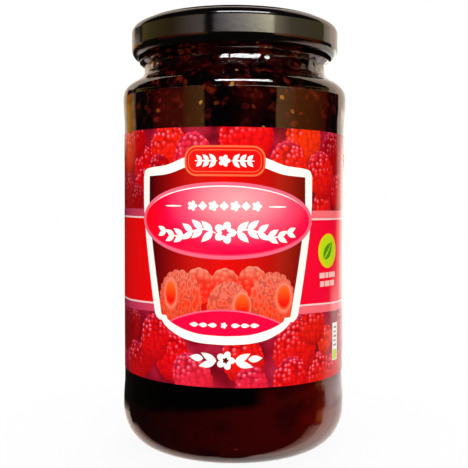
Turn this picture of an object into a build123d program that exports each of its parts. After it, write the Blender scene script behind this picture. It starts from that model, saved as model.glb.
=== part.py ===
from build123d import *
import os

# A jam jar: round glass jar, twist-off lid of tinplate, wrap-round paper label, and the jam that fills it.
# Millimetres, +Z up, origin at the centre of the base that the jar stands on. The label's front faces -Y.

os.makedirs("parts", exist_ok=True)

# Glass, outside
body_diameter = 70.6      # over the bumper bands above and below the label
jar_height = 132.0        # base to the rim, where the lid seats
heel_width = 9.8          # the heel's curve, measured across
heel_height = 12.2        # the heel's curve, measured up
foot_ring_width = 1.6     # flat ring that the jar stands on
push_up = 2.8             # rise of the base inside the foot ring
lower_band = 1.0          # straight band between the heel and the long slope up to the label panel
lower_ramp = 9.2          # height of that slope
upper_band = 1.0          # straight band under the shoulder
upper_ramp = 8.6          # height of the long slope from that band down to the panel
panel_relief = 0.35       # the label panel lies this far inside the bands
shoulder_height = 8.85
neck_height = 1.2         # straight groove between the shoulder and the bead
neck_groove = 1.25        # depth of the groove, from the face of the finish
bead_height = 2.7
bead_crest = 1.6          # height of its widest part above its foot
bead_projection = 0.4     # the bead stands out this far from the finish
finish_diameter = 59.8    # glass inside the lid's skirt
rim_outer_round = 2.6     # rounding of the rim's outer edge, measured across
rim_inner_round = 0.9     # rounding of its inner edge, measured across
rim_round_height = 2.9    # and both measured up

# Glass, inside
side_wall = 2.5
neck_wall = 2.4
base_thickness = 3.4
inner_heel_width = 9.5
inner_heel_height = 11.0

# Lid, pressed from sheet
lid_height = 10.7
lid_sheet = 0.5
hem_width = 2.15          # rolled hem at the bottom of the skirt, measured across
hem_nose = 0.3            # the part of that width that rounds up to its inner edge
hem_height = 2.45
corner_width = 2.9        # rounded corner at the top of the skirt, measured across
corner_height = 2.55      # and measured up
ring_slope = 1.0          # width of the slope from the corner up to the raised ring
ring_rise = 0.75
panel_drop = 1.0          # the centre panel lies this far below the ring
panel_step = 1.5          # width of the step between the ring and the panel
button_diameter = 25.0    # safety button in the centre of the panel
button_drop = 0.5         # held down by the vacuum

# Label
label_thickness = 0.12
label_margin = 1.8        # bare glass between the label and each ramp
label_back_gap = 9.0      # bare strip up the back, between the label's two ends
label_skew = 0.4          # degrees, the label is stuck on slightly askew

# Fits
lid_play = 0.6            # between the hem and the finish
lid_lift = 0.2            # between the hem and the bead
glue_line = 0.03          # between the label and the glass
fill_gap = 0.05           # between the jam and the glass
head_space = 3.2          # between the jam and the lid's panel

# Heights, from the lid down and from the base up
lid_top = jar_height + lid_sheet
lid_bottom = lid_top - lid_height
bead_top = lid_bottom - lid_lift
bead_bottom = bead_top - bead_height
shoulder_top = bead_bottom - neck_height
shoulder_bottom = shoulder_top - shoulder_height
ramp_top = shoulder_bottom - upper_band
panel_top = ramp_top - upper_ramp
ramp_bottom = heel_height + lower_band
panel_bottom = ramp_bottom + lower_ramp
inside_floor = push_up + base_thickness
jam_top = lid_top - panel_drop - button_drop - lid_sheet - head_space

# Radii
body_radius = body_diameter / 2
panel_radius = body_radius - panel_relief
foot_radius = body_radius - heel_width
finish_radius = finish_diameter / 2
neck_radius = finish_radius - neck_groove
bead_radius = finish_radius + bead_projection
mouth_radius = neck_radius - neck_wall
inside_radius = panel_radius - side_wall
hem_radius = finish_radius + lid_play
lid_radius = hem_radius + hem_width
ring_radius = lid_radius - corner_width - ring_slope

# Where an S-shaped shoulder's two handles end, as parts of its height
SHOULDER_LOW = 0.63
SHOULDER_HIGH = 0.5


def revolved(*edges):
    """Closed solid of revolution about Z from an outline in the XZ plane (x is the radius, y the height)."""
    outline = Wire(list(edges))
    return revolve(Plane.XZ * make_face(outline), Axis.Z, 360)


def quarter(centre, across, up, start):
    """Quarter of an ellipse, counter-clockwise from the start angle in degrees."""
    return EllipticalCenterArc(centre, across, up, start_angle=start, arc_size=90)


def s_curve(low, high, low_handle, high_handle):
    """S-shaped curve that leaves low and reaches high in line with the axis."""
    return Bezier(low, (low[0], low[1] + low_handle), (high[0], high[1] - high_handle), high)


def glass_inside(gap, top):
    """Edges of the jar's inside from the axis out and up, standing gap off the glass, ended at a height."""
    radius = inside_radius - gap
    mouth = mouth_radius - gap
    floor = inside_floor + gap
    wall_foot = floor - push_up / 2 + inner_heel_height
    corner_radius = radius - inner_heel_width
    return [
        Bezier((0, floor), (corner_radius / 2, floor), (corner_radius / 2, floor - push_up / 2),
               (corner_radius, floor - push_up / 2)),
        quarter((corner_radius, wall_foot), inner_heel_width, inner_heel_height, 270),
        Line((radius, wall_foot), (radius, shoulder_bottom)),
        s_curve((radius, shoulder_bottom), (mouth, shoulder_top),
                shoulder_height * SHOULDER_LOW, shoulder_height * SHOULDER_HIGH),
        Line((mouth, shoulder_top), (mouth, top)),
    ]


def make_glass_jar():
    ring_inner = foot_radius - foot_ring_width
    outside = [
        Bezier((0, push_up), (ring_inner / 2, push_up), (ring_inner, 0)),
        Line((ring_inner, 0), (foot_radius, 0)),
        quarter((foot_radius, heel_height), heel_width, heel_height, 270),
    ]
    bead_handle = bead_height / 5
    bead_middle = bead_bottom + bead_crest
    outside += [
        Line((body_radius, heel_height), (body_radius, ramp_bottom)),
        s_curve((body_radius, ramp_bottom), (panel_radius, panel_bottom), lower_ramp / 2, lower_ramp / 2),
        Line((panel_radius, panel_bottom), (panel_radius, panel_top)),
        s_curve((panel_radius, panel_top), (body_radius, ramp_top), upper_ramp / 2, upper_ramp / 2),
        Line((body_radius, ramp_top), (body_radius, shoulder_bottom)),
        s_curve((body_radius, shoulder_bottom), (neck_radius, shoulder_top),
                shoulder_height * SHOULDER_LOW, shoulder_height * SHOULDER_HIGH),
        Line((neck_radius, shoulder_top), (neck_radius, bead_bottom)),
        s_curve((neck_radius, bead_bottom), (bead_radius, bead_middle), bead_handle, bead_handle),
        s_curve((bead_radius, bead_middle), (finish_radius, bead_top), bead_handle, bead_handle),
    ]
    rim_foot = jar_height - rim_round_height
    rim_inner = mouth_radius + rim_inner_round
    rim_outer = finish_radius - rim_outer_round
    rim = [
        Line((finish_radius, bead_top), (finish_radius, rim_foot)),
        quarter((rim_outer, rim_foot), rim_outer_round, rim_round_height, 0),
        Line((rim_outer, jar_height), (rim_inner, jar_height)),
        quarter((rim_inner, rim_foot), rim_inner_round, rim_round_height, 90),
    ]
    axis_edge = Line((0, push_up), (0, inside_floor))
    return revolved(*outside, *rim, *glass_inside(0, rim_foot), axis_edge)


def make_jam():
    top = [Line((mouth_radius - fill_gap, jam_top), (0, jam_top)), Line((0, jam_top), (0, inside_floor + fill_gap))]
    return revolved(*glass_inside(fill_gap, jam_top), *top)


def level_step(low, high):
    """Smooth step that starts and ends level."""
    middle = (low[0] + high[0]) / 2
    return Bezier(low, (middle, low[1]), (middle, high[1]), high)


def lid_face(drop):
    """The lid's upper face from the axis out to its rounded corner, or the face of its sheet that far below it."""
    top = lid_top - drop
    panel = top - panel_drop
    button = panel - button_drop
    button_radius = button_diameter / 2
    step_inner = mouth_radius - panel_step
    ring = ring_radius - drop
    return [
        Line((0, button), (button_radius - panel_step, button)),
        level_step((button_radius - panel_step, button), (button_radius, panel)),
        Line((button_radius, panel), (step_inner, panel)),
        level_step((step_inner, panel), (mouth_radius, top)),
        Line((mouth_radius, top), (ring, top)),
        level_step((ring, top), (ring + ring_slope, top - ring_rise)),
    ]


def make_lid():
    corner_foot = lid_top - ring_rise - corner_height
    corner = ring_radius + ring_slope
    hem_top = lid_bottom + hem_height
    inner = lid_radius - lid_sheet
    nose = hem_radius + hem_nose
    outside = [
        quarter((corner, corner_foot), corner_width, corner_height, 0),
        Line((lid_radius, corner_foot), (lid_radius, hem_top)),
        quarter((nose, hem_top), hem_width - hem_nose, hem_height, 270),
        quarter((nose, hem_top), hem_nose, hem_height, 180),
    ]
    inside = [
        Bezier((hem_radius, hem_top), (hem_radius, hem_top + hem_width / 2), (inner, hem_top),
               (inner, hem_top + hem_width)),
        Line((inner, hem_top + hem_width), (inner, corner_foot)),
        quarter((corner - lid_sheet, corner_foot), corner_width, corner_height - lid_sheet, 0),
    ]
    axis_edge = Line((0, lid_top - panel_drop - button_drop), (0, lid_top - lid_sheet - panel_drop - button_drop))
    return revolved(*lid_face(0), *outside, *inside, *lid_face(lid_sheet), axis_edge)


def make_label():
    inner = panel_radius + glue_line
    middle = (panel_bottom + panel_top) / 2
    height = panel_top - panel_bottom - 2 * label_margin
    sleeve = Cylinder(inner + label_thickness, 2 * height) - Cylinder(inner, 2 * height)
    slab = Rot(0, label_skew, 0) * Box(2 * body_diameter, 2 * body_diameter, height)
    strip = Pos(0, body_radius, 0) * Box(label_back_gap, body_diameter / 2, 2 * height)
    return Pos(0, 0, middle) * (sleeve & slab - strip)


PARTS = {
    "glass_jar": make_glass_jar,
    "jam": make_jam,
    "lid": make_lid,
    "label": make_label,
}

for name, make in PARTS.items():
    solid = make()
    export_step(solid, f"parts/{name}.step")
    print(name, "volume", round(solid.volume / 1000, 1), "ml")
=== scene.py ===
import math
import random

import bmesh
import bpy
from mathutils import Matrix, Vector
from mathutils.geometry import tessellate_polygon


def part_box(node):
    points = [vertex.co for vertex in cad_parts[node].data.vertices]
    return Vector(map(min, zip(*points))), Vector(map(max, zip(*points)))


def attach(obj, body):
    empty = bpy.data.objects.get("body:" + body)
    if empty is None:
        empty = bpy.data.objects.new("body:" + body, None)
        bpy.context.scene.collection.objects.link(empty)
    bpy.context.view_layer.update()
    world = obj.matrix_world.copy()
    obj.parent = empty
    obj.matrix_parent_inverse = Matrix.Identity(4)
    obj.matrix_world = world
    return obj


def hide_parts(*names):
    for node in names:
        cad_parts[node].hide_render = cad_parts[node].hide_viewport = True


# A jar of raspberry jam. The glass and the lid are the CAD's own pieces in better finishes. The jam becomes a
# piece that reaches into the glass, with seeds and pulp in it, and the label becomes a printed paper sleeve.

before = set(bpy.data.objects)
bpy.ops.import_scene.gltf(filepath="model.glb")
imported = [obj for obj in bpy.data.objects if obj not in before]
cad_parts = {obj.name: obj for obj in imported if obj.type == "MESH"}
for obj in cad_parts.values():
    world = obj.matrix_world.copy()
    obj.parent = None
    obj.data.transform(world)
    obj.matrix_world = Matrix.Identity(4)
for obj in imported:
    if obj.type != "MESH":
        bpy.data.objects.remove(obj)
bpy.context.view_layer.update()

MM = 0.001
ROOT = "root"


# ---------------------------------------------------------------- small helpers

def linear(code):
    """An sRGB hex colour as linear RGB."""
    parts = [int(code[i:i + 2], 16) / 255 for i in (1, 3, 5)]
    return [p / 12.92 if p <= 0.04045 else ((p + 0.055) / 1.055) ** 2.4 for p in parts]


def colour(code):
    return linear(code) + [1.0]


# Kinds of node that come up often: the node's type, the inputs that a list fills in turn, and its settings.
# FADE goes from 0 at its second value to 1 at its third. NOISE has marks about 1 / scale across, in metres on
# the jar and in mm on the print. PRINT_PLACE is in mm, or in the shape's own frame.
(PLUS, MINUS, TIMES, DIVIDE, POWER, MINIMUM, MAXIMUM, LESS_THAN, ABSOLUTE, FLOOR, FRACT, ARCSINE, ARCTAN2) = [
    ("ShaderNodeMath", (0, 1), {"operation": name}) for name in (
        "ADD", "SUBTRACT", "MULTIPLY", "DIVIDE", "POWER", "MINIMUM", "MAXIMUM", "LESS_THAN", "ABSOLUTE",
        "FLOOR", "FRACT", "ARCSINE", "ARCTAN2")]
VECTOR_PLUS, VECTOR_MINUS, VECTOR_TIMES, DISTANCE, LENGTH, NORMALIZE = [
    ("ShaderNodeVectorMath", (0, 1), {"operation": name}) for name in (
        "ADD", "SUBTRACT", "MULTIPLY", "DISTANCE", "LENGTH", "NORMALIZE")]
SCALE = ("ShaderNodeVectorMath", (0, "Scale"), {"operation": "SCALE"})
SPLIT = ("ShaderNodeSeparateXYZ", (0,), {})
RANGE = ("ShaderNodeMapRange", (0, 1, 2, 3, 4), {})
FADE = ("ShaderNodeMapRange", (0, 1, 2), {"interpolation_type": "SMOOTHSTEP"})
MIX = ("ShaderNodeMix", (0, 6, 7), {"data_type": "RGBA"})
RAMP = ("ShaderNodeValToRGB", (0,), {})
NOISE = ("ShaderNodeTexNoise", ("Vector", "Scale", "Detail"), {})
BUMP = ("ShaderNodeBump", ("Height", "Distance", "Strength"), {})
RANDOM = ("FunctionNodeRandomValue", (2, 3, "Seed"), {"data_type": "FLOAT"})
PRINT_PLACE = ("ShaderNodeUVMap", (), {"uv_map": "print"})
PRINCIPLED = "ShaderNodeBsdfPrincipled"
OUTPUT = "ShaderNodeOutputMaterial"


def add(tree, kind, inputs=None, stops=(), **settings):
    """Adds a node with its settings, fills its inputs with numbers or colours, and links them to other nodes.

    A node stands for the output that it uses, and (kind, values...) for a new node. A ramp's stops are
    (position, colour)."""
    node_type, places, common = kind if isinstance(kind, tuple) else (kind, (), {})
    node = tree.nodes.new(node_type)
    for name, value in {**common, **settings}.items():
        setattr(node, name, value)
    if isinstance(inputs, list):
        inputs = dict(zip(places, inputs))
    for key, value in (inputs or {}).items():
        if isinstance(value, tuple) and isinstance(value[0], tuple):
            value = add(tree, value[0], list(value[1:]))
        if isinstance(value, bpy.types.Node):
            value = next(socket for socket in value.outputs if socket.enabled)
        if isinstance(value, bpy.types.NodeSocket):
            tree.links.new(value, node.inputs[key])
        else:
            is_colour = isinstance(value, str) and value.startswith("#")
            node.inputs[key].default_value = colour(value) if is_colour else value
    for k, (position, code) in enumerate(stops):
        elements = node.color_ramp.elements
        stop = elements[k] if k < len(elements) else elements.new(1)
        stop.position, stop.color = position, colour(code)
    return node


def adder(tree):
    """The function add for one tree, called node from here on."""
    return lambda kind, inputs=None, **rest: add(tree, kind, inputs, **rest)


def new_material(name):
    """An empty node material, and what adds nodes to it."""
    material = bpy.data.materials.new(name)
    material.use_nodes = True
    material.node_tree.nodes.clear()
    return material, adder(material.node_tree)


def give(obj, material):
    obj.data.materials.clear()
    obj.data.materials.append(material)


def piece(name, mesh, *materials):
    """An object with its mesh and materials, in the scene."""
    obj = bpy.data.objects.new(name, mesh)
    bpy.context.scene.collection.objects.link(obj)
    for material in materials:
        mesh.materials.append(material)
    return obj


# ---------------------------------------------------------------- glass and lid

NECK_RELIEF = 0.6 * MM   # how deep a relief of 1 is at the neck
SWAY = 0.8 * MM          # how far the ring wanders up and down
PEEL = 0.01 * MM         # depth of the lacquer's orange-peel


def neck_relief(node, where, height):
    """The mould's uneven ring round the neck, a crisp foot to the shoulder, and slight waves, as a height."""
    sway = node(TIMES, [(NOISE, where, 95, 1), 2 * SWAY])
    level = node(PLUS, [height, (MINUS, sway, SWAY)])
    ring = node(RANGE, [level, 0.1150, 0.1190, 1.85, 0.0])
    foot = node(RANGE, [height, 0.10895, 0.1095, 0.075, 0.0])
    around = node(TIMES, [(FADE, height, 0.1145, 0.1165), (FADE, height, 0.1215, 0.1200)])
    rough = node(PLUS, [(TIMES, around, 2.0), 0.07])
    waves = node(TIMES, [(NOISE, where, 170, 1), rough])
    return node(PLUS, [(PLUS, ring, foot), waves])


def glass_material():
    """Clear flint glass from a mould: bright edges, wavy at the neck, and lamps reach the jam through it."""
    material, node = new_material("clear_flint_glass")
    where = node("ShaderNodeTexCoord").outputs["Object"]
    height = node(SPLIT, [where]).outputs[2]
    ripple = node(BUMP, [neck_relief(node, where, height), NECK_RELIEF])
    glass = node(PRINCIPLED, {
        "Base Color": "#F7FAF8", "Roughness": 0.0, "IOR": 1.52, "Transmission Weight": 1.0, "Normal": ripple})
    clear = node("ShaderNodeBsdfTransparent", {"Color": "#F4F8F5"})
    shadow = node("ShaderNodeLightPath").outputs["Is Shadow Ray"]
    both = node("ShaderNodeMixShader", {0: shadow, 1: glass, 2: clear})
    node(OUTPUT, {"Surface": both})
    return material


def lid_material():
    """Black lacquered tinplate: deep gloss with a faint orange-peel and a slightly uneven sheen."""
    material, node = new_material("black_lacquered_tinplate")
    where = node("ShaderNodeTexCoord").outputs["Object"]
    tone = node(RAMP, [(NOISE, where, 160, 3)], stops=[(0.35, "#020202"), (0.65, "#060504")])
    sheen = node(RANGE, [(NOISE, where, 70, 3), 0, 1, 0.09, 0.17])
    peel = node(BUMP, [(NOISE, where, 700, 1), PEEL])
    node(OUTPUT, {"Surface": node(PRINCIPLED, {"Base Color": tone, "Roughness": sheen, "IOR": 1.5,
                                               "Normal": peel})})
    return material


# ---------------------------------------------------------------- jam

JAM_OVERLAP = 0.17 * MM  # how far the jam is moved out, past its gap and into the glass
WET_INSIDE = {"Roughness": 0.6, "Specular IOR Level": 0.0}   # wetted by glass or syrup: no gloss of its own


def jam_material():
    """Raspberry jam: near-black depths, brown-red pulp near the top, and painted light and shadow lower down.
    """
    material, node = new_material("raspberry_jam")
    where = node("ShaderNodeTexCoord").outputs["Object"]
    place = node(SPLIT, [where]).outputs
    depth = node(NOISE, [where, 95, 3])
    body = node(RAMP, [depth], stops=[(0.44, "#020001"), (0.55, "#150102"), (0.68, "#300303")])
    lumps = node(NOISE, [where, 420, 3])
    pulp = node(RAMP, [lumps], stops=[(0.5, "#2A0303"), (0.62, "#4E0C07"), (0.74, "#6A220E")])
    shown = node(TIMES, [(FADE, lumps, 0.5, 0.68), (FADE, place[2], 0.085, 0.116)])
    upper = node(MIX, [shown, body, pulp])
    # Painted light through the jam from the right: near black at the left, redder to the right, and brightest
    # red at the right-hand edge (clear).
    middle = node(MIX, [(FADE, place[0], -0.034, 0.022), "#140001", "#420102"])
    clear = node(MIX, [(FADE, place[0], 0.016, 0.027), middle, "#6A0500"])
    wisps = node(MIX, [(TIMES, (FADE, depth, 0.5, 0.35), 0.5), clear, "#080001"])
    # Painted shadow of the label: the jam goes black just below it, on the left and in the middle (shade).
    slant = node(MINUS, [place[2], (TIMES, place[0], 0.13)])
    under = node(PLUS, [slant, (TIMES, depth, 0.003)])
    shade = node(TIMES, [(FADE, under, 0.0180, 0.0207), (FADE, place[0], 0.0105, 0.0050)])
    lower = node(MIX, [shade, wisps, "#000000"])
    final = node(MIX, [(FADE, place[2], 0.03, 0.09), lower, upper])
    node(OUTPUT, {"Surface": node(PRINCIPLED, {"Base Color": final, **WET_INSIDE})})
    return material


def make_jam():
    """The CAD's jam, welded and moved out a little, so that it reaches just into the glass."""
    shape = bmesh.new()
    shape.from_mesh(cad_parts["jam"].data)
    bmesh.ops.remove_doubles(shape, verts=shape.verts, dist=1e-6)
    bmesh.ops.recalc_face_normals(shape, faces=shape.faces)
    shape.normal_update()
    moves = [v.normal * JAM_OVERLAP for v in shape.verts]
    for v, move in zip(shape.verts, moves):
        v.co += move
    for edge in shape.edges:
        edge.smooth = edge.calc_face_angle(0) < math.radians(40)
    for face in shape.faces:
        face.smooth = True
    mesh = bpy.data.meshes.new("jam_fill")
    shape.to_mesh(mesh)
    shape.free()
    return piece("jam_fill", mesh, jam_material())


# ---------------------------------------------------------------- seeds and pulp

LEAN = 0.3   # radians, how far a drop may lean out of the surface
SCATTER_INPUTS = [
    ("Number", "Float", 8000.0), ("Apart", "Float", 0.002), ("Lowest Share", "Float", 0.2),
    ("Size", "Vector", (0.002, 0.0014, 0.001)), ("Least Sunk", "Float", 0.0002), ("Most Sunk", "Float", 0.0005),
    ("Seed", "Int", 1), ("Finish", "Material", None)]


def drop_shape(node, size):
    """A seed: a ball drawn out to one blunt and one narrow end, with a slightly uneven skin."""
    ball = node("GeometryNodeMeshIcoSphere", {"Radius": 0.5, "Subdivisions": 2})
    where = node("GeometryNodeInputPosition")
    along = node(SPLIT, [where])
    uneven = node(TIMES, [(NOISE, where, 3.0, 1), 0.5])
    narrow = node(MINUS, [(PLUS, uneven, 0.75), (TIMES, along, 0.6)])
    across = node("ShaderNodeCombineXYZ", {0: 1.0, 1: narrow, 2: narrow})
    shaped = node(VECTOR_TIMES, [where, across])
    drop = node("GeometryNodeSetPosition", {"Geometry": ball, "Position": shaped})
    return node("GeometryNodeTransform", {"Geometry": drop, "Scale": size})


def share_of_drops(node, lowest):
    """How thickly the drops lie: in clumps, thickest near the shoulder, and none on the jam's top."""
    where = node("GeometryNodeInputPosition")
    height = node(SPLIT, [where]).outputs[2]
    rise = node(RANGE, [height, 0.085, 0.108, lowest, 1.0])
    clumps = node(FADE, [(NOISE, where, 85, 1), 0.36, 0.62])
    facing = node(SPLIT, [node("GeometryNodeInputNormal")]).outputs[2]
    side = node(LESS_THAN, [(ABSOLUTE, facing), 0.95])
    return node(TIMES, [(TIMES, rise, clumps), side])


def scatter_group():
    """Drops scattered over a surface, each turned at random, sunk into it and given its own tone."""
    tree = bpy.data.node_groups.new("scatter_in_jam", "GeometryNodeTree")
    tree.interface.new_socket("Surface", in_out="INPUT", socket_type="NodeSocketGeometry")
    tree.interface.new_socket("Drops", in_out="OUTPUT", socket_type="NodeSocketGeometry")
    for name, kind, value in SCATTER_INPUTS:
        socket = tree.interface.new_socket(name, in_out="INPUT", socket_type="NodeSocket" + kind)
        if value is not None:
            socket.default_value = value
    node = adder(tree)
    given = node("NodeGroupInput").outputs
    seed = given["Seed"]
    points = node("GeometryNodeDistributePointsOnFaces", {
        "Mesh": given["Surface"], "Distance Min": given["Apart"], "Density Max": given["Number"],
        "Density Factor": share_of_drops(node, given["Lowest Share"]), "Seed": seed},
        distribute_method="POISSON").outputs
    depth = node(TIMES, [(RANDOM, given["Least Sunk"], given["Most Sunk"], seed), -1.0])
    inward = node(SCALE, [points["Normal"], depth])
    sunk = node("GeometryNodeSetPosition", {"Geometry": points["Points"], "Offset": inward})
    spin = node("FunctionNodeRandomValue", {0: (-LEAN, -LEAN, 0.0), 1: (LEAN, LEAN, 2 * math.pi), "Seed": seed},
                data_type="FLOAT_VECTOR")
    turn = node("FunctionNodeRotateRotation", {"Rotation": points["Rotation"], "Rotate By": spin},
                rotation_space="LOCAL")
    drops = node("GeometryNodeInstanceOnPoints", {
        "Points": sunk, "Instance": drop_shape(node, given["Size"]), "Rotation": turn,
        "Scale": (RANDOM, 0.7, 1.15, (PLUS, seed, 5.0))})
    toned = node("GeometryNodeStoreNamedAttribute", {
        "Geometry": drops, "Name": "tone", "Value": (RANDOM, 0.0, 1.0, (PLUS, seed, 9.0))},
        domain="INSTANCE", data_type="FLOAT")
    plain = node("GeometryNodeRealizeInstances", {"Geometry": toned})
    smooth = node("GeometryNodeSetShadeSmooth", {"Geometry": plain})
    done = node("GeometryNodeSetMaterial", {"Geometry": smooth, "Material": given["Finish"]})
    node("NodeGroupOutput", {"Drops": done})
    return tree


def scatter(name, tree, surface_mesh, settings):
    """Runs the group over a surface and keeps what it makes as a plain piece."""
    carrier = piece(name + "_carrier", surface_mesh.copy())
    modifier = carrier.modifiers.new("scatter", "NODES")
    modifier.node_group = tree
    for item in tree.interface.items_tree:
        if item.name in settings:
            modifier[item.identifier] = settings[item.name]
    graph = bpy.context.evaluated_depsgraph_get()
    mesh = bpy.data.meshes.new_from_object(carrier.evaluated_get(graph), depsgraph=graph)
    mesh.name = name
    bpy.data.objects.remove(carrier)
    made = piece(name, mesh)
    give(made, settings["Finish"])
    return made


def drop_material(name, stops):
    """Something in the jam: coloured by its own random tone, mottled, and dull in the syrup all round it."""
    material, node = new_material(name)
    where = node("ShaderNodeTexCoord").outputs["Object"]
    tone = node("ShaderNodeAttribute", attribute_name="tone").outputs["Fac"]
    mottle = node(TIMES, [(MINUS, (NOISE, where, 900, 2), 0.5), 0.7])
    shade = node(RAMP, [(PLUS, tone, mottle)], stops=stops)
    node(OUTPUT, {"Surface": node(PRINCIPLED, {"Base Color": shade, **WET_INSIDE})})
    return material


def make_drops(jam):
    """Raspberry seeds, mostly brown-red and a few golden, and softer red pulp between them."""
    tree = scatter_group()
    seeds = drop_material("raspberry_seeds", [(0.0, "#240403"), (0.45, "#4A0F06"), (0.75, "#8A3D14"),
                                              (1.0, "#C98A34")])
    pulp = drop_material("raspberry_pulp", [(0.0, "#180102"), (0.5, "#3E0504"), (1.0, "#6E1810")])
    return [
        scatter("jam_seeds", tree, jam.data, {
            "Number": 30000.0, "Apart": 0.0022, "Lowest Share": 0.05, "Size": (0.0021, 0.0014, 0.001),
            "Least Sunk": 0.0001, "Most Sunk": 0.00035, "Seed": 4, "Finish": seeds}),
        scatter("jam_pulp", tree, jam.data, {
            "Number": 45000.0, "Apart": 0.0018, "Lowest Share": 0.08, "Size": (0.0026, 0.002, 0.0013),
            "Least Sunk": 0.0003, "Most Sunk": 0.00055, "Seed": 11, "Finish": pulp}),
    ]


# ---------------------------------------------------------------- printed label

SKEW = math.radians(0.4)     # the label is stuck on slightly askew
PAPER = 35.02                # mm, radius of the paper's face
STRIP = 1.1                  # mm, width of the flat strips that make up the sleeve
INK = 0.012                  # mm, from one layer of ink to the next
BACK_GAP = 9.0               # mm, bare glass between the label's two ends
LABEL_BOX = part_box("label")
LABEL_MIDDLE = (LABEL_BOX[0].z + LABEL_BOX[1].z) / 2 / MM
LABEL_HEIGHT = (LABEL_BOX[1].z - LABEL_BOX[0].z) / MM - 2 * math.tan(SKEW) * LABEL_BOX[1].x / MM
LABEL_LOW = LABEL_MIDDLE - LABEL_HEIGHT / 2
LABEL_HIGH = LABEL_MIDDLE + LABEL_HEIGHT / 2
LABEL_END = math.pi * PAPER - BACK_GAP / 2
AXIS = -2.75                 # mm, the design's centre line is a little left of the front
PAPER_BACK = -0.06           # mm, the paper's back from its face
WAVINESS = 0.02 * MM         # depth of the paper's slight waves


def on_sleeve(u, v, lift):
    """The point u mm along the sleeve, v mm up and lift mm off the paper; flat across each strip."""
    step = math.floor(u / STRIP + 1e-6)
    ends = [Vector((math.sin(k * STRIP / PAPER), -math.cos(k * STRIP / PAPER))) for k in (step, step + 1)]
    x, y = ends[0].lerp(ends[1], u / STRIP - step) * (PAPER + lift)
    return Vector((x, y, v - math.tan(SKEW) * x)) * MM


def cut_flat(outline, holes=()):
    """A flat shape in triangles, cut at every strip and at the label's lower and upper edge."""
    flat = bmesh.new()
    loops = [[Vector((u, v, 0)) for u, v in loop] for loop in (outline, *holes)]
    corners = [flat.verts.new(point) for loop in loops for point in loop]
    for triangle in tessellate_polygon(loops):
        face = flat.faces.new([corners[i] for i in triangle])
        face.normal_update()
        if face.normal.z < 0:
            face.normal_flip()

    def cut(place, direction, clear):
        bmesh.ops.bisect_plane(flat, geom=flat.verts[:] + flat.edges[:] + flat.faces[:], dist=1e-5,
                               plane_co=place, plane_no=direction, clear_outer=clear)
    across = [u for u, v in outline]
    for k in range(math.ceil(min(across) / STRIP), math.floor(max(across) / STRIP) + 1):
        cut((k * STRIP, 0, 0), (1, 0, 0), False)
    cut((0, LABEL_LOW, 0), (0, -1, 0), True)
    cut((0, LABEL_HIGH, 0), (0, 1, 0), True)
    return flat


class Sleeve:
    """Shapes laid on the label, gathered into one mesh."""

    def __init__(self):
        self.points, self.faces, self.normals, self.inks, self.uvs, self.traits = [], [], [], [], [], []
        self.laid = 0

    def face(self, corners, normals, ink, uvs, trait):
        start = len(self.points)
        self.points += corners
        self.faces.append(range(start, start + len(corners)))
        self.normals += normals
        self.inks.append(ink)
        self.uvs += uvs
        self.traits.append(trait)

    def lay(self, outline, level, ink=0, holes=(), frame_of=(0, 0, 1, 0), trait=(0, 0, 0)):
        """Lays a shape at a level of ink. frame_of is the centre, size and turn of its UVs."""
        flat = cut_flat(outline, holes)
        self.laid += 1
        lift = (level + 0.08 * (self.laid % 5)) * INK if level else 0
        u0, v0, size, turn = frame_of

        def uv(p):
            q = Matrix.Rotation(-turn, 2) @ Vector((p.x - u0, p.y - v0))
            return (q.x / size, q.y / size)
        for face in flat.faces:
            spots = [v.co for v in face.verts]
            outward = [Vector((math.sin(p.x / PAPER), -math.cos(p.x / PAPER), 0)) for p in spots]
            self.face([on_sleeve(p.x, p.y, lift) for p in spots], outward, ink, [uv(p) for p in spots], trait)
            for loop in face.loops:
                if loop.edge.is_boundary and level:
                    self.wall(loop, lift, 0, ink, uv, trait)
        flat.free()

    def wall(self, loop, high, low, ink, uv, trait=(0, 0, 0)):
        """The thin edge of a layer of ink or paper, from one height down to another."""
        a, b = loop.vert.co, loop.link_loop_next.vert.co
        corners = [on_sleeve(p.x, p.y, h) for p, h in ((a, high), (a, low), (b, low), (b, high))]
        normal = (corners[1] - corners[0]).cross(corners[2] - corners[1]).normalized()
        self.face(corners, [normal] * 4, ink, [uv(a), uv(a), uv(b), uv(b)], trait)

    def mesh(self, name):
        mesh = bpy.data.meshes.new(name)
        mesh.from_pydata(self.points, [], [list(face) for face in self.faces])
        mesh.uv_layers.new(name="print").data.foreach_set("uv", [x for uv in self.uvs for x in uv])
        mesh.polygons.foreach_set("material_index", self.inks)
        mesh.shade_smooth()
        trait = mesh.attributes.new("berry", "FLOAT_VECTOR", "FACE")
        trait.data.foreach_set("vector", [x for t in self.traits for x in t])
        mesh.normals_split_custom_set(self.normals)
        return mesh


# ---- inks

def printed(node, shade, roughness=0.14):
    """Ink on paper under varnish: a fine uneven sheen and the paper's slight waviness."""
    where = node("ShaderNodeTexCoord").outputs["Object"]
    sheen = node(RANGE, [(NOISE, where, 160, 3), 0, 1, roughness - 0.03, roughness + 0.04])
    wave = node(BUMP, [(NOISE, where, 120, 1), WAVINESS, 0.6])
    node(OUTPUT, {"Surface": node(PRINCIPLED, {"Base Color": shade, "Roughness": sheen,
                                               "Specular IOR Level": 0.15, "Normal": wave})})


def ink(name, code):
    """One plain ink."""
    material, node = new_material("ink_" + name)
    printed(node, code)
    return material


def across_print(node, low, high):
    """0 to 1 from one distance along the label to another."""
    u = node(SPLIT, [node(PRINT_PLACE)])
    return node(RANGE, [u, low, high])


def graded_ink(name, low, high, stops):
    """Ink that changes along the label, from one place to another."""
    material, node = new_material("ink_" + name)
    printed(node, node(RAMP, [across_print(node, low, high)], stops=stops))
    return material


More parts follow.
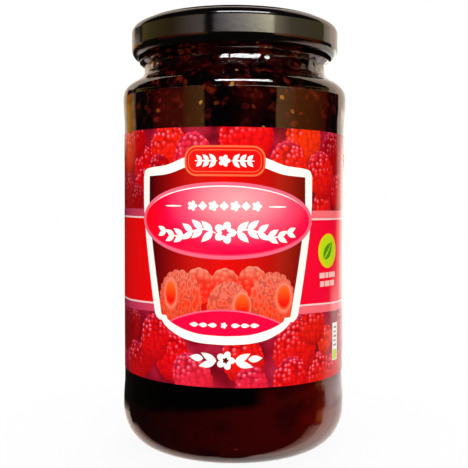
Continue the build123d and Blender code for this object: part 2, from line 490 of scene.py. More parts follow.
def field_ink():
    """The shield's ground: bright red in the middle and dark maroon towards its sides."""
    stops = [(0.0, "#3E0003"), (0.12, "#7E0406"), (0.3, "#BE0504"), (0.5, "#E00402"), (0.7, "#C80805"),
             (0.86, "#A01208"), (1.0, "#6A0A05")]
    return graded_ink("shield_ground", AXIS - 24, AXIS + 24, stops)


def oval_ink():
    """The oval's ground: pale pink in the middle, magenta-red at its rim and pure red at its left end."""
    material, node = new_material("ink_oval_ground")
    spot = node(VECTOR_MINUS, [node(PRINT_PLACE), (AXIS + 4, 77.0, 0)])
    flat = node(VECTOR_TIMES, [spot, (1 / 24, 1 / 14.5, 1)])
    away = node(LENGTH, [flat])
    stops = [(0.0, "#F0A0A6"), (0.35, "#F3848F"), (0.65, "#F8486C"), (0.9, "#FA1048"), (1.0, "#F8003C")]
    rosy = node(RAMP, [away], stops=stops)
    left = node(FADE, [across_print(node, AXIS - 15, AXIS - 26), 0, 1])
    printed(node, node(MIX, [left, rosy, "#FA0010"]))
    return material


def thread_ink():
    """The thin line inside the oval's rim: white along its top, and gone at its ends and along its bottom."""
    material, node = new_material("ink_oval_thread")
    place = node(SPLIT, [node(PRINT_PLACE)]).outputs
    ends = node(ABSOLUTE, [(MINUS, place[0], AXIS)])
    shown = node(TIMES, [(FADE, place[1], 69.0, 77.0), (FADE, ends, 25.5, 17.0)])
    printed(node, node(MIX, [shown, "#F6305E", "#FBF4F0"]))
    return material


def paper_ink():
    """The label's own ground between the fruit: deep raspberry shadow, more purple in places."""
    material, node = new_material("printed_label_paper")
    cloud = node(NOISE, [node(PRINT_PLACE), 0.11, 2])
    shade = node(RAMP, [cloud], stops=[(0.35, "#5E0410"), (0.5, "#960A24"), (0.66, "#B01E3A")])
    printed(node, shade)
    return material


def drupelets(node, grain, disorder):
    """A round fruit's place, reach and tone, and each bobble's nearness, random colour and offset in mm."""
    local = node(PRINT_PLACE)
    trait = node("ShaderNodeAttribute", attribute_name="berry").outputs["Vector"]
    seed, size, tone = node(SPLIT, [trait]).outputs
    length = node(LENGTH, [local])
    reach = node(MINIMUM, [length, 0.97])
    bulge = node(DIVIDE, [(ARCSINE, reach), (MAXIMUM, reach, 0.01)])
    spread = node(TIMES, [bulge, size])
    round_ = node(SCALE, [local, spread])
    shift = node("ShaderNodeCombineXYZ", {0: seed, 1: seed})
    place = node(VECTOR_PLUS, [round_, shift])
    cells = node("ShaderNodeTexVoronoi", {"Vector": place, "Scale": 1 / grain, "Randomness": disorder},
                voronoi_dimensions="2D").outputs
    offset = node(VECTOR_MINUS, [place, cells["Position"]])
    return local, reach, tone, cells["Distance"], cells["Color"], offset


def shine(node, offset, at, size):
    """A highlight on each bobble, offset from its middle."""
    gap = node(DISTANCE, [offset, at])
    return node(FADE, [gap, size, size * 0.3])


def raspberry_ink():
    """Printed raspberries: smooth red fruit, whose bobbles and pink highlights show mainly along the top."""
    material, node = new_material("printed_raspberries")
    local, reach, tone, away, chance, offset = drupelets(node, 1.55, 0.75)
    bright = node(FRACT, [tone])
    body = node(RAMP, [bright], stops=[(0.0, "#560006"), (0.35, "#A40208"), (0.7, "#E60309"), (1.0, "#F63208")])
    pink = node(TIMES, [(FLOOR, tone), 0.5])
    rosy = node(MIX, [pink, body, "#DC2450"])
    place = node(SPLIT, [local]).outputs
    lit = node(MINUS, [place[1], (TIMES, place[0], 0.4)])
    top = node(FADE, [lit, -0.25, 0.7])
    crisp = node(PLUS, [(TIMES, top, 0.42), 0.32])
    gaps = node(TIMES, [(FADE, away, 0.33, 0.62), crisp])
    beads = node(MIX, [gaps, rosy, "#8E0012"])
    some = node(FADE, [node("ShaderNodeSeparateColor", {0: chance}), 0.15, 0.7])
    shone = node(TIMES, [shine(node, offset, (-0.15, 0.25, 0), 0.62), (TIMES, top, some)])
    dimmed = node(TIMES, [shone, (FADE, bright, 0.05, 0.7)])
    spots = node(MIX, [(TIMES, dimmed, 0.85), beads, "#FF7C96"])
    crown = node(TIMES, [(FADE, reach, 0.6, 0.97), (FADE, lit, 0.3, 1.0)])
    blushed = node(MIX, [(TIMES, crown, 0.3), spots, "#E8447A"])
    low = node(TIMES, [(FADE, lit, 0.1, -1.0), (FADE, reach, 0.35, 1.0)])
    printed(node, node(MIX, [(TIMES, low, 0.6), blushed, "#98000A"]))
    return material


def cluster_ink():
    """The heap in the shield: orange-red fruit, salmon lines round its bobbles, paler at the top."""
    material, node = new_material("printed_fruit_heap")
    local, reach, tone, away, _, offset = drupelets(node, 1.9, 0.7)
    place = node(SPLIT, [local]).outputs
    top = node(FADE, [place[1], -0.2, 0.95])
    body = node(MIX, [top, "#EC341C", "#E46C52"])
    gaps = node(MIX, [(TIMES, (FADE, away, 0.42, 0.7), 0.6), body, "#C42A18"])
    lit = node(TIMES, [shine(node, offset, (-0.1, 0.2, 0), 0.75), 0.45])
    shone = node(MIX, [lit, gaps, "#F28C74"])
    crown = node(TIMES, [(FADE, reach, 0.72, 0.97), (FADE, place[1], 0.0, 0.8)])
    edged = node(MIX, [(TIMES, crown, 0.55), shone, "#F4A28C"])
    deep = node(TIMES, [tone, (FADE, place[1], 0.7, -0.4)])
    printed(node, node(MIX, [(TIMES, deep, 0.8), edged, "#F01A08"]))
    return material


def picked_ink():
    """A picked berry: bobbles in rings round its opening, salmon above and orange below."""
    material, node = new_material("printed_picked_fruit")
    local = node(PRINT_PLACE)
    trait = node("ShaderNodeAttribute", attribute_name="berry").outputs["Vector"]
    seed, stretch, hole = node(SPLIT, [trait]).outputs
    wider = node("ShaderNodeCombineXYZ", {0: stretch, 1: 1.0})
    even = node(VECTOR_TIMES, [local, wider])
    length = node(LENGTH, [even])
    round_ = node(NORMALIZE, [even])
    rings = node(TIMES, [(POWER, length, 0.8), 4.2])
    lift = node("ShaderNodeCombineXYZ", {2: (PLUS, rings, seed)})
    spread = node(SCALE, [round_, 4.4])
    place = node(VECTOR_PLUS, [spread, lift])
    away = node("ShaderNodeTexVoronoi", {"Vector": place, "Scale": 1.0, "Randomness": 0.6})
    top = node(FADE, [node(SPLIT, [local]).outputs[1], -0.5, 0.95])
    body = node(MIX, [top, "#EE3A18", "#DE5C46"])
    cores = node(MIX, [(FADE, away, 0.4, 0.1), body, (MIX, top, "#F62C08", "#E64C32")])
    paler = node(MIX, [top, "#F86440", "#F28C76"])
    lines = node(MIX, [(TIMES, (FADE, away, 0.34, 0.5), 0.55), cores, paler])
    gaps = node(MIX, [(TIMES, (FADE, away, 0.5, 0.68), 0.65), lines, "#BC3020"])
    near = node(DIVIDE, [length, hole])
    lip = node(MIX, [(TIMES, (FADE, near, 1.3, 1.05), 0.6), gaps, "#F5826A"])
    printed(node, lip)
    return material


def hollow_ink():
    """The opening of a picked berry: orange at the top, pure red lower down, and a soft salmon rim."""
    material, node = new_material("printed_fruit_hollow")
    local = node(PRINT_PLACE)
    stretch = node("ShaderNodeAttribute", attribute_name="berry").outputs["Vector"]
    even = node(VECTOR_TIMES, [local, stretch])
    away = node(LENGTH, [even])
    up = node(SPLIT, [even]).outputs[1]
    inside = node(MIX, [(FADE, up, -0.5, 0.8), "#FA1004", "#FF5A12"])
    rim = node(MIX, [(FADE, away, 0.62, 0.98), inside, "#F46A44"])
    printed(node, node(MIX, [(TIMES, (FADE, away, 0.9, 1.0), 0.7), rim, "#FFA287"]))
    return material


# ---- shapes, in mm on the flat label

def ring_of(count, reach, centre=(0, 0), turn=0.0):
    """Points around a centre: reach gives the distance for an angle."""
    angles = [turn + 2 * math.pi * k / count for k in range(count)]
    return [(centre[0] + reach(a) * math.cos(a), centre[1] + reach(a) * math.sin(a)) for a in angles]


def ellipse(u, v, half_width, half_height, count=72):
    steps = [2 * math.pi * k / count for k in range(count)]
    return [(u + half_width * math.cos(a), v + half_height * math.sin(a)) for a in steps]


def box_shape(u0, v0, u1, v1):
    return [(u0, v0), (u1, v0), (u1, v1), (u0, v1)]


def band_shape(low, high, end):
    """A strip round the whole label, whose lower lines hang a little towards its sides."""
    def hang(u, v):
        return v - 0.5 * min(max((abs(u) - 25) / 14, 0), 1) * (v < 60)
    across = [-end, -39, -32, -25, 25, 32, 39, end]
    return [(u, hang(u, low)) for u in across] + [(u, hang(u, high)) for u in across[::-1]]


def rounded_box(u, v, half_width, half_height, radius, count=6):
    """A box with round corners."""
    points = []
    for side_u, side_v, start in ((1, -1, -90), (1, 1, 0), (-1, 1, 90), (-1, -1, 180)):
        for k in range(count + 1):
            a = math.radians(start + 90 * k / count)
            points.append((u + side_u * (half_width - radius) + radius * math.cos(a),
                           v + side_v * (half_height - radius) + radius * math.sin(a)))
    return points


def placed(points, u, v, turn=0.0):
    """Points drawn about the origin, turned and moved."""
    c, s = math.cos(turn), math.sin(turn)
    return [(u + a * c - b * s, v + a * s + b * c) for a, b in points]


def toward(side, turn=0.0):
    """A turn as it is on the right, or its mirror image on the left."""
    return turn if side > 0 else math.pi - turn


def curve(points, steps=5):
    """A smooth open line through the points."""
    ends = [points[0], *points, points[-1]]
    line = []
    for p0, p1, p2, p3 in zip(ends, ends[1:], ends[2:], ends[3:]):
        for k in range(steps):
            t = k / steps
            line.append(tuple(0.5 * (2 * b + (c - a) * t + (2 * a - 5 * b + 4 * c - d) * t * t
                                     + (3 * b - a - 3 * c + d) * t ** 3) for a, b, c, d in zip(p0, p1, p2, p3)))
    return line + [points[-1]]


def mirrored(half):
    """A closed outline from its right half, which runs from the top middle down to the bottom middle."""
    left = [(-u, v) for u, v in half if u > 0.01]
    return [(AXIS + u, v) for u, v in left + half[::-1]]


def berry_outline(u, v, size, turn, bobbles):
    """A raspberry's outline: an egg with a bobbly edge."""
    def reach(a):
        egg = 1 + 0.10 * math.cos(2 * (a - turn)) - 0.06 * math.cos(a - turn)
        return size * egg * (0.955 + 0.06 * abs(math.sin(bobbles * (a - turn) / 2)))
    return ring_of(bobbles * 5, reach, (u, v))


def leaf(length, width):
    """A pointed leaf that starts at the origin and lies along +u."""
    upper = [(length * t, width / 2 * math.sin(math.pi * t ** 0.8)) for t in (0.08, 0.2, 0.35, 0.5, 0.65, 0.8,
                                                                              0.92)]
    return [(0, 0), *[(a, -b) for a, b in upper], (length, 0), *upper[::-1]]


def blossom(size):
    """A five-petalled blossom."""
    return ring_of(40, lambda a: size * (0.62 + 0.38 * abs(math.cos(2.5 * a))), turn=math.pi / 2)


def stroke(line, width):
    """A line as a shape: its two sides, joined."""
    sides = ([], [])
    for k, (u, v) in enumerate(line):
        before, after = line[max(k - 1, 0)], line[min(k + 1, len(line) - 1)]
        along = Vector((after[0] - before[0], after[1] - before[1])).normalized()
        thick = width / 2 * (0.35 + 0.65 * math.sin(math.pi * (0.06 + 0.88 * k / (len(line) - 1))))
        sides[0].append((u + along.y * thick, v - along.x * thick))
        sides[1].append((u - along.y * thick, v + along.x * thick))
    return sides[0] + sides[1][::-1]


# ---- the print

BAND_LOW, BAND_HIGH = 47.0, 71.8     # mm up, the red band round the label
STRIPE = 2.5                         # mm, the pink stripe above and below it

SHIELD = mirrored(curve([(0, 91.0), (6, 90.5), (11.5, 89.0), (17.5, 86.95), (23.6, 86.3), (26.2, 85.6),
                         (27.0, 83.6)])
                  + curve([(27.0, 76), (26.2, 68), (24.6, 58), (22.4, 46), (21.7, 43.7), (20.4, 42.5)])
                  + [(19.3, 42.4), (18.7, 41.5)] + curve([(17, 40.1), (12.5, 37.9), (7, 36.75), (0, 36.4)]))
GROUND = mirrored(curve([(0, 88.2), (6, 87.7), (11, 86.3), (17, 84.4), (24.4, 83.8)])
                  + curve([(24.5, 76), (23.7, 68), (22.1, 58), (19.9, 46), (19.45, 43.9)])
                  + [(17.7, 43.8), (17.2, 42.7)] + curve([(15.6, 41.8), (11.8, 40.3), (6.8, 39.2), (0, 38.85)]))

# Fruit round the front: along, up, size, tone (the whole part makes it rosier, the rest brighter)
FRONT_FRUIT = [
    (-42, 91, 6.5, 0.62), (-41, 79, 6, 0.4), (-34, 95, 5.0, 0.5), (-30.5, 87.5, 5.2, 0.66),
               (-31, 81.6, 4.6, 0.62),
    (-35, 76.8, 5.0, 0.34), (-20.5, 92.5, 6.6, 0.8), (-23, 85.5, 4.7, 0.45), (-12.2, 90.3, 5.8, 1.75),
    (3.4, 96.0, 8.6, 0.72), (21.5, 95.5, 7.2, 0.97), (16.0, 86.8, 7.0, 0.8), (34.5, 91.5, 6.2, 0.4),
    (28.6, 85.0, 6.6, 0.75), (38.5, 80, 5.2, 0.6), (29.2, 76.0, 4.8, 0.74), (44, 87, 6.5, 0.45),
    (-42, 38, 6.5, 0.2), (-36, 39.5, 4.8, 0.35), (-35, 28.5, 6.2, 0.5), (-25.6, 37.0, 6.6, 0.65),
               (-29.5, 31.0, 5.0, 0.5),
    (-19.0, 32.6, 6.8, 0.68), (-12.3, 27.0, 6.6, 1.8), (2.6, 32.8, 6.6, 0.74), (5.2, 25.2, 5.2, 1.75),
    (25.5, 41.4, 5.6, 0.78), (19.2, 35.6, 8.4, 0.74), (31.4, 36.4, 4.2, 0.98), (17.2, 26.0, 6.4, 0.72),
    (28.2, 26.8, 6.0, 0.76), (37.5, 27.5, 5.5, 0.7), (42, 38, 6.0, 0.5),
]
# Fruit in the shield: along, up, size, how much redder it gets lower down
HEAP = [(-9.6, 53.2, 4.7, 0.9), (-2.2, 53.3, 4.6, 1.0), (5.2, 53.7, 4.8, 0.9)]
# Picked fruit in front of it: along, up, size, its opening's along, up, half-width and half-height
PICKED = [(-16.0, 49.2, 7.7, -18.9, 50.2, 2.1, 4.0), (11.2, 48.9, 7.8, 14.6, 49.6, 2.4, 3.9),
          (-1.4, 47.2, 6.9, 2.4, 47.4, 2.5, 3.7)]


def lay_berry(sleeve, u, v, size, tone, level, dice, ink_index=0):
    turn = dice.uniform(0.9, 2.2)
    outline = berry_outline(u, v, size, turn, max(9, round(size * 2.6)))
    sleeve.lay(outline, level, ink_index, frame_of=(u, v, size * 1.12, 0),
               trait=(dice.uniform(10, 90), size, tone))


def make_fruit():
    """Every printed berry, on a few layers that change over so that neighbours overlap."""
    sleeve, dice = Sleeve(), random.Random(7)
    fruit = list(FRONT_FRUIT)
    for low, high in ((LABEL_LOW, BAND_LOW - STRIPE), (BAND_HIGH + STRIPE, LABEL_HIGH)):
        for side in (-1, 1):
            for along in (49, 57.5, 66, 75, 83.5, 92, 100):
                for up in (low + 4, high - 5):
                    fruit.append((side * (along + dice.uniform(-2, 2)), up + dice.uniform(-2, 2),
                                  dice.uniform(4.5, 5.6), dice.uniform(0.4, 0.9) + dice.choice((0, 0, 1))))
    for k, (u, v, size, tone) in enumerate(fruit):
        lay_berry(sleeve, u, v, size, tone, 1 + k % 3, dice)
    for u, v, size, deep in HEAP:
        lay_berry(sleeve, u, v, size, deep, 8, dice, 1)
    for k, (u, v, size, hole_u, hole_v, a, b) in enumerate(PICKED):
        outline = berry_outline(u, v, size, math.pi / 2, round(size * 2.6))
        sleeve.lay(outline, 9 + k, 2, frame_of=(hole_u, hole_v, size, 0),
                   trait=(dice.uniform(10, 90), b / a, b / size))
        sleeve.lay(ellipse(hole_u, hole_v, a, b, 40), 12, 3, frame_of=(hole_u, hole_v, b, 0),
                   trait=(b / a, 1, 0))
    mesh = sleeve.mesh("label_fruit")
    return piece("label_fruit", mesh, raspberry_ink(), cluster_ink(), picked_ink(), hollow_ink())


def garland(lay):
    """White leaves along a thin wavy stem, with a blossom in the middle, where the jar would name its fruit."""
    for side in (-1, 1):
        steps = [k / 16 for k in range(17)]
        stem = [(AXIS + 0.2 + side * (2.5 + 15.5 * t), 67.8 + 1.1 * math.sin(6.5 * t)) for t in steps]
        lay(stroke(stem, 0.55), 18, "white")
        for k, (u, v) in enumerate(stem[1::3]):
            for way in (1, -1):
                turn = way * (0.75 - 0.06 * k)
                lay(placed(leaf(4.4 - 0.25 * k, 2.0 - 0.1 * k), u, v, toward(side, turn)), 18, "white")
    lay(placed(blossom(3.2), AXIS + 0.2, 68), 19, "white")
    lay(placed(blossom(1.1), AXIS + 0.2, 68), 20, "rose")


def dots_and_dashes(lay):
    """A row of small blossoms between two dashes, over the garland."""
    for side in (-1, 1):
        lay(stroke([(AXIS + side * (12.6 + 5.2 * t), 75.3) for t in (0, 0.25, 0.5, 0.75, 1)], 0.5), 18, "white")
    for k in range(-3, 4):
        if k % 2:
            lay(placed(blossom(1.5), AXIS + 3.05 * k, 75.4), 18, "white")
        else:
            lay(ring_of(4, lambda a: 1.35, (AXIS + 3.05 * k, 75.4)), 18, "white")


def small_ornaments(lay):
    """White leaves in the lens, and a blossom between leaves under the shield."""
    for side in (-1, 1):
        for k in range(3):
            lay(placed(leaf(2.6, 1.3), AXIS + side * (2.0 + 2.7 * k), 41.9, toward(side)), 16, "white")
        for k, (u, v, turn) in enumerate(((2.6, 31.6, 0.5), (2.9, 31.4, -0.25), (6.4, 32.3, 0.1))):
            lay(placed(leaf(5.0 - 0.9 * (k == 2), 2.0), AXIS + 0.5 + side * u, v, toward(side, turn)),
                16, "white")
    lay(placed(blossom(0.9), AXIS, 41.9), 16, "white")
    lay(placed(blossom(2.7), AXIS + 0.5, 32), 16, "white")
    lay(placed(blossom(0.9), AXIS + 0.5, 32), 17, "shade")


def plaque(lay):
    """A plain red plaque on the shield's top edge, with a pale outline and a sprig of leaves."""
    for grow, level, name in ((0.0, 17, "orange"), (-0.55, 18, "plaque"), (-1.15, 19, "orange"),
                              (-1.4, 20, "plaque")):
        lay(rounded_box(AXIS, 88.0, 11.6 + grow, 4.3 + grow, 3.6 + grow), level, name)
    for side in (-1, 1):
        lay(stroke([(AXIS + side * (2 + 6.4 * t), 88) for t in (0, 0.25, 0.5, 0.75, 1)], 0.45), 21, "white")
        for k in range(3):
            for turn in (0.8, -0.8):
                lay(placed(leaf(2.7 - 0.2 * k, 1.25), AXIS + side * (2.4 + 2.0 * k), 88,
                           toward(side, turn)), 21, "white")
    lay(placed(blossom(1.7), AXIS, 88), 21, "white")


def side_marks(lay):
    """A green leaf badge, pale bars and a small white panel on the label's right side."""
    lay(ellipse(32.3, 62.4, 5.0, 5.1), 6, "lemon")
    lay(ellipse(32.3, 62.4, 4.3, 4.4), 7, "lime")
    lay(placed(leaf(7.0, 3.8), 29.9, 60.0, 0.8), 8, "green")
    lay(stroke([(29.5, 59.5), (31.8, 61.8), (34.3, 64.8)], 0.5), 9, "lime")
    for v, bars in ((55.2, ((28.0, 30.6), (31.0, 32.6), (33.0, 36.9))),
                    (52.7, ((28.3, 30.2), (30.6, 33.3), (33.7, 36.3)))):
        for u0, u1 in bars:
            lay(box_shape(u0, v - 0.8, u1, v + 0.8), 6, "blush")
    lay(box_shape(35.6, 29.0, 39.2, 40.4), 6, "white")
    lay(box_shape(35.9, 29.3, 38.9, 32.2), 7, "lime")
    for k in range(5):
        lay(box_shape(36.3, 33.3 + 1.35 * k, 38.5 - 0.5 * (k % 2), 33.9 + 1.35 * k), 7, "grey")


def back_panel(lay):
    """The small print: a cream panel with grey lines and a block of bars, round the back."""
    lay(rounded_box(76, 60, 21, 31, 2), 6, "cream")
    dice = random.Random(3)
    for k in range(17):
        if k not in (5, 11):
            lay(box_shape(58.5, 87.2 - 2.1 * k, 58.5 + dice.uniform(24, 34), 87.9 - 2.1 * k), 7, "grey")
    along = 61.0
    while along < 91:
        wide = dice.choice((0.5, 0.5, 0.9, 1.4))
        lay(box_shape(along, 33, along + wide, 47), 7, "shade")
        along += wide + dice.choice((0.5, 0.8, 1.1))
    for k in range(8):
        lay(box_shape(-90, 66 - 2.0 * k, -90 + dice.uniform(18, 30), 66.8 - 2.0 * k), 6, "blush")


INKS = {"white": "#FBF7EF", "rose": "#F23A62", "shade": "#5A0C14", "orange": "#F4683C", "plaque": "#E40A0A",
        "lemon": "#E6D208", "lime": "#C4DE12", "green": "#4F9A12", "blush": "#FBC4BC", "grey": "#8C8A84",
        "cream": "#F6EFE2", "line": "#F6D2CE", "rim": "#F0647E", "lens": "#F5003C"}


def make_print():
    """Everything on the label but its fruit: the band, the shield, the oval and the ornaments."""
    sleeve = Sleeve()
    graded = {
        "band": graded_ink("band", -36, 30, [(0, "#E60003"), (0.6, "#EE0010"), (1, "#F80032")]),
        "stripe": graded_ink("stripe", -44, 34, [(0, "#B02C50"), (0.3, "#DC4260"), (1, "#FF7078")]),
        "ground": field_ink(), "oval": oval_ink(), "thread": thread_ink(),
    }
    materials = {**{name: ink(name, code) for name, code in INKS.items()}, **graded}
    order = list(materials)

    def lay(outline, level, name, holes=()):
        sleeve.lay(outline, level, order.index(name), holes)
    end = LABEL_END
    lay(band_shape(BAND_LOW, BAND_HIGH, end), 4, "band")
    lay(band_shape(BAND_LOW - STRIPE, BAND_LOW, end), 4, "stripe")
    lay(band_shape(BAND_HIGH, BAND_HIGH + STRIPE, end), 4, "stripe")
    for v in (BAND_LOW, BAND_HIGH):
        lay(band_shape(v - 0.24, v + 0.24, end), 5, "line")
    lay(GROUND, 6, "ground")
    lens = [(AXIS + 17.5 * t / 12, 46.4 - 4.4 * (t / 12) ** 2) for t in range(12, -13, -1)]
    lay(lens + [(AXIS - 12, 38), (AXIS + 12, 38)], 14, "rim")
    lay([(u, v - 0.45) for u, v in lens] + [(AXIS - 12, 38), (AXIS + 12, 38)], 15, "lens")
    lay(SHIELD, 15.5, "white", [GROUND])
    oval = (AXIS, 71.3)
    lay(ellipse(*oval, 27.0, 10.85), 16, "rim")
    lay(ellipse(*oval, 26.0, 9.85), 16.5, "thread")
    lay(ellipse(*oval, 25.75, 9.5), 17, "oval")
    for draw in (garland, dots_and_dashes, small_ornaments, plaque, side_marks, back_panel):
        draw(lay)
    return piece("label_print", sleeve.mesh("label_print"), *materials.values())


def make_paper():
    """The paper itself: its printed face, its cut edges and its back against the glass."""
    sleeve = Sleeve()
    outline = box_shape(-LABEL_END, LABEL_LOW, LABEL_END, LABEL_HIGH)
    sleeve.lay(outline, 0)
    flat = cut_flat(outline)
    for face in flat.faces:
        spots = [v.co for v in face.verts][::-1]
        inward = [Vector((-math.sin(p.x / PAPER), math.cos(p.x / PAPER), 0)) for p in spots]
        corners = [on_sleeve(p.x, p.y, PAPER_BACK) for p in spots]
        sleeve.face(corners, inward, 0, [(p.x, p.y) for p in spots], (0, 0, 0))
        for loop in face.loops:
            if loop.edge.is_boundary:
                sleeve.wall(loop, 0, PAPER_BACK, 0, lambda p: (p.x, p.y))
    flat.free()
    return piece("label_paper", sleeve.mesh("label_paper"), paper_ink())


# ---------------------------------------------------------------- camera, floor and light

CAMERA_DISTANCE = 255.9 * MM   # from the jar's axis
CAMERA_HEIGHT = 76.7 * MM
CAMERA_PITCH = math.radians(-2.35)
CAMERA_ROLL = math.radians(0.22)
CAMERA_LENS = 60.9             # mm on a 36 mm sensor


def make_camera():
    data = bpy.data.cameras.new("camera")
    data.lens, data.sensor_width, data.clip_start = CAMERA_LENS, 36, 0.01
    camera = bpy.data.objects.new("camera", data)
    bpy.context.scene.collection.objects.link(camera)
    place = Matrix.Translation((0, -CAMERA_DISTANCE, CAMERA_HEIGHT))
    tilt = Matrix.Rotation(math.pi / 2 + CAMERA_PITCH, 4, "X")
    camera.matrix_world = place @ tilt @ Matrix.Rotation(CAMERA_ROLL, 4, "Z")
    bpy.context.scene.camera = camera


LAMPS = [  # name, azimuth and elevation in degrees, distance and width in m, watts, colour
    ("key", 16, 28, 0.7, 0.5, 2.5, "#FFFDF9"),
    ("fill", -34, 12, 0.7, 0.5, 1.55, "#FFFFFF"),
    ("top", 0, 85, 0.8, 0.6, 2.5, "#FFFFFF"),
    ("back", 165, 30, 0.8, 0.6, 4.5, "#FFFFFF"),
]
JAR_MIDDLE = 0.065             # m, the height that the lamps face


def softbox(name, azimuth, elevation, distance, size, energy, shade):
    """An area lamp that faces the jar. Azimuth is from the camera's side, positive to its right."""
    data = bpy.data.lights.new(name, "AREA")
    data.shape, data.size, data.size_y = "RECTANGLE", size, size
    data.energy, data.color = energy, linear(shade)
    lamp = bpy.data.objects.new(name, data)
    bpy.context.scene.collection.objects.link(lamp)
    a, e = math.radians(azimuth), math.radians(elevation)
    toward_lamp = Vector((math.sin(a) * math.cos(e), -math.cos(a) * math.cos(e), math.sin(e)))
    lamp.location = Vector((0, 0, JAR_MIDDLE)) + toward_lamp * distance
    lamp.rotation_euler = toward_lamp.to_track_quat("Z", "Y").to_euler()
    lamp.visible_glossy = False
    lamp.visible_transmission = False


def world_panel(node, azimuth, elevation, where_a, where_e, near, far, soft):
    """Light from a rectangle of directions in degrees, going from one colour to another across it."""
    def inside(value, low, high):
        rise = node(FADE, [value, low - soft, low + soft])
        return node(TIMES, [rise, (FADE, value, high + soft, high - soft)])
    mask = node(TIMES, [inside(azimuth, *where_a), inside(elevation, *where_e)])
    across = node(RANGE, [azimuth, where_a[0], where_a[1]])
    tint = node(MIX, [across, near + [1.0], far + [1.0]])
    return node(SCALE, [tint, mask])


WORLD_PANELS = [  # azimuths, elevations, colour at the first azimuth and at the last, softness of the edges
    ((-21.5, 43), (35, 47), [20, 20, 21], [22, 22, 21], 1.5),  # big softbox over the camera
    ((-22.5, 10), (11.3, 16.5), [1.6, 1.4, 1.6], [6.6, 6.0, 5.4], 1.0),  # the lit wall under it
    ((10, 42.5), (11.3, 16.5), [6.6, 6.0, 5.4], [14.5, 13.6, 9.4], 1.5),
    ((-122, -70), (9.3, 18), [0.5, 0.36, 0.1], [0.4, 0.25, 0.08], 1.0),  # dim walls to its left
    ((-70, -33), (9.3, 20), [0.4, 0.25, 0.08], [1.6, 1.35, 1.2], 1.0),
    ((43, 62), (9, 20), [3.3, 2.8, 2.0], [1.0, 0.85, 0.6], 1.0),  # and to its right
    ((62, 112), (9, 20), [1.0, 0.85, 0.55], [0.4, 0.3, 0.1], 1.0),
    ((114, 133), (10, 60), [1.5, 1.25, 0.9], [1.5, 1.2, 1.0], 1.0),
    ((-90, -52), (-5, 9), [0.3, 0.0, 0.0], [0.85, 0.07, 0.02], 1.5),
    ((-52, -30), (-5, 9), [0.9, 0.16, 0.04], [1.1, 0.5, 0.12], 1.5),
    ((42, 63), (-5, 9), [1.9, 0.85, 0.3], [1.3, 0.42, 0.1], 1.5),
    ((63, 108), (-5, 9), [1.3, 0.3, 0.04], [0.3, 0.0, 0.0], 1.5),
    ((-128, -120), (4, 9), [1.0, 0.6, 0.35], [0.6, 0.3, 0.2], 1.5),  # bright edges, far to each side
    ((-146, -128), (4, 9), [1.0, 0.35, 0.03], [0.9, 0.25, 0.01], 1.5),
    ((-145, -122), (2.6, 5.2), [0.5, 0.3, 0.05], [0.6, 0.3, 0.05], 1.0),
    ((-185, -146), (4, 60), [1.0, 0.9, 0.8], [1.0, 0.75, 0.5], 1.5),
    ((-146, -128), (9.8, 11.2), [1.2, 1.1, 0.95], [1.3, 1.1, 0.95], 0.5),
    ((-146, -128), (15.5, 60), [1.2, 1.1, 0.95], [1.3, 1.1, 0.95], 1.0),
    ((132, 150), (-6, 60), [1.6, 1.15, 0.95], [1.15, 1.0, 0.82], 1.5),
    ((150, 185), (-6, 60), [1.15, 1.0, 0.82], [1.0, 0.95, 0.9], 1.5),
    ((142, 185), (-6.5, 4.5), [1.4, 1.4, 1.3], [1.4, 1.4, 1.3], 2.0),
    ((118, 133), (-9, -6), [1.3, 1.2, 1.2], [0.8, 0.8, 0.8], 1.5),
    ((108, 120), (-12.2, -9), [1.2, 1.1, 1.1], [1.8, 1.7, 1.6], 1.5),
    ((120, 185), (-12.2, -6), [1.6, 1.55, 1.5], [1.5, 1.5, 1.5], 1.5),
    ((84, 104), (-80, -22), [0.9, 0.4, 0.25], [1.9, 1.2, 1.0], 4.0),  # pale floor, seen low down
    ((92, 104), (-18, -12.5), [0.7, 0.15, 0.0], [1.4, 0.6, 0.2], 2.0),
    ((104, 125), (-80, -12.5), [2.3, 1.6, 1.4], [1.9, 1.5, 1.35], 2.0),
    ((125, 185), (-80, -12.5), [1.5, 1.25, 1.15], [0.95, 0.95, 0.9], 2.0),
    ((-185, -137), (-80, -15), [1.2, 1.05, 0.95], [1.1, 0.8, 0.7], 1.5),
    ((-137, -122), (-80, -24), [1.1, 0.8, 0.7], [0.4, 0.15, 0.12], 3.0),
]


WHITE = [1.0, 1.0, 1.0, 1.0]
AMBIENT = [0.17, 0.17, 0.17, 1.0]   # what the walls give to dull surfaces
UNLIT = [0.02, 0.015, 0.012]        # the room between the panels


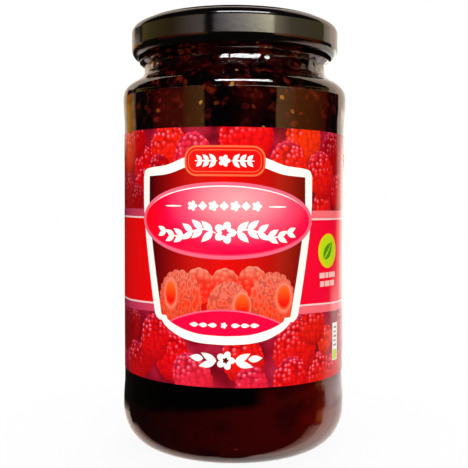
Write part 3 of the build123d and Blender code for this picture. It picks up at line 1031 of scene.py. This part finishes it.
def make_world():
    """Plain white to the eye, and soft panels to what reflects."""
    world = bpy.data.worlds.new("studio")
    bpy.context.scene.world = world
    world.use_nodes = True
    world.node_tree.nodes.clear()
    node = adder(world.node_tree)
    way = node(SPLIT, [node("ShaderNodeTexCoord").outputs["Generated"]]).outputs
    front = node(TIMES, [way[1], -1.0])
    azimuth = node(TIMES, [(ARCTAN2, way[0], front), 180 / math.pi])
    elevation = node(TIMES, [(ARCSINE, way[2]), 180 / math.pi])
    total = UNLIT
    for panel in WORLD_PANELS:
        total = node(VECTOR_PLUS, [total, world_panel(node, azimuth, elevation, *panel)])
    rays = node("ShaderNodeLightPath").outputs
    seen = node(MIX, [rays["Is Glossy Ray"], AMBIENT, total])
    plain = node(MAXIMUM, [rays["Is Camera Ray"], rays["Is Transmission Ray"]])
    shown = node(MIX, [plain, seen, WHITE])
    node("ShaderNodeOutputWorld", {"Surface": node("ShaderNodeBackground", {"Color": shown})})


SHADOW_REACH = (0.035, 0.11)   # m from the axis, where the floor's shadow is full and where it has faded out
FLOOR_RADIUS = 3               # m


def make_floor():
    """A pale floor that goes over into the backdrop, keeps the jar's shadow and isn't seen in reflections."""
    material, node = new_material("studio_floor")
    where = node("ShaderNodeTexCoord").outputs["Object"]
    radius = node(LENGTH, [where])
    paper = node("ShaderNodeBsdfDiffuse", {"Color": [0.82, 0.82, 0.82, 1]})
    white = node("ShaderNodeEmission", {"Color": WHITE})
    lit = node(RANGE, [radius, *SHADOW_REACH, 0.93, 1.0])
    near = node("ShaderNodeMixShader", {0: lit, 1: paper, 2: white})
    gone = node("ShaderNodeBsdfTransparent")
    glossy = node("ShaderNodeLightPath").outputs["Is Glossy Ray"]
    both = node("ShaderNodeMixShader", {0: glossy, 1: near, 2: gone})
    node(OUTPUT, {"Surface": both})
    mesh = bpy.data.meshes.new("floor")
    disc = bmesh.new()
    bmesh.ops.create_circle(disc, cap_ends=True, radius=FLOOR_RADIUS, segments=64)
    disc.to_mesh(mesh)
    disc.free()
    floor = piece("floor", mesh, material)


# ---------------------------------------------------------------- put together

give(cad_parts["glass_jar"], glass_material())
give(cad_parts["lid"], lid_material())

jam = make_jam()
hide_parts("jam")
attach(jam, ROOT)
for obj in make_drops(jam):
    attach(obj, ROOT)

paper = make_paper()
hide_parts("label")
for obj in (paper, make_fruit(), make_print()):
    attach(obj, ROOT)

make_floor()
make_world()
make_camera()
for lamp in LAMPS:
    softbox(*lamp)
bpy.context.scene.view_settings.view_transform = "Standard"
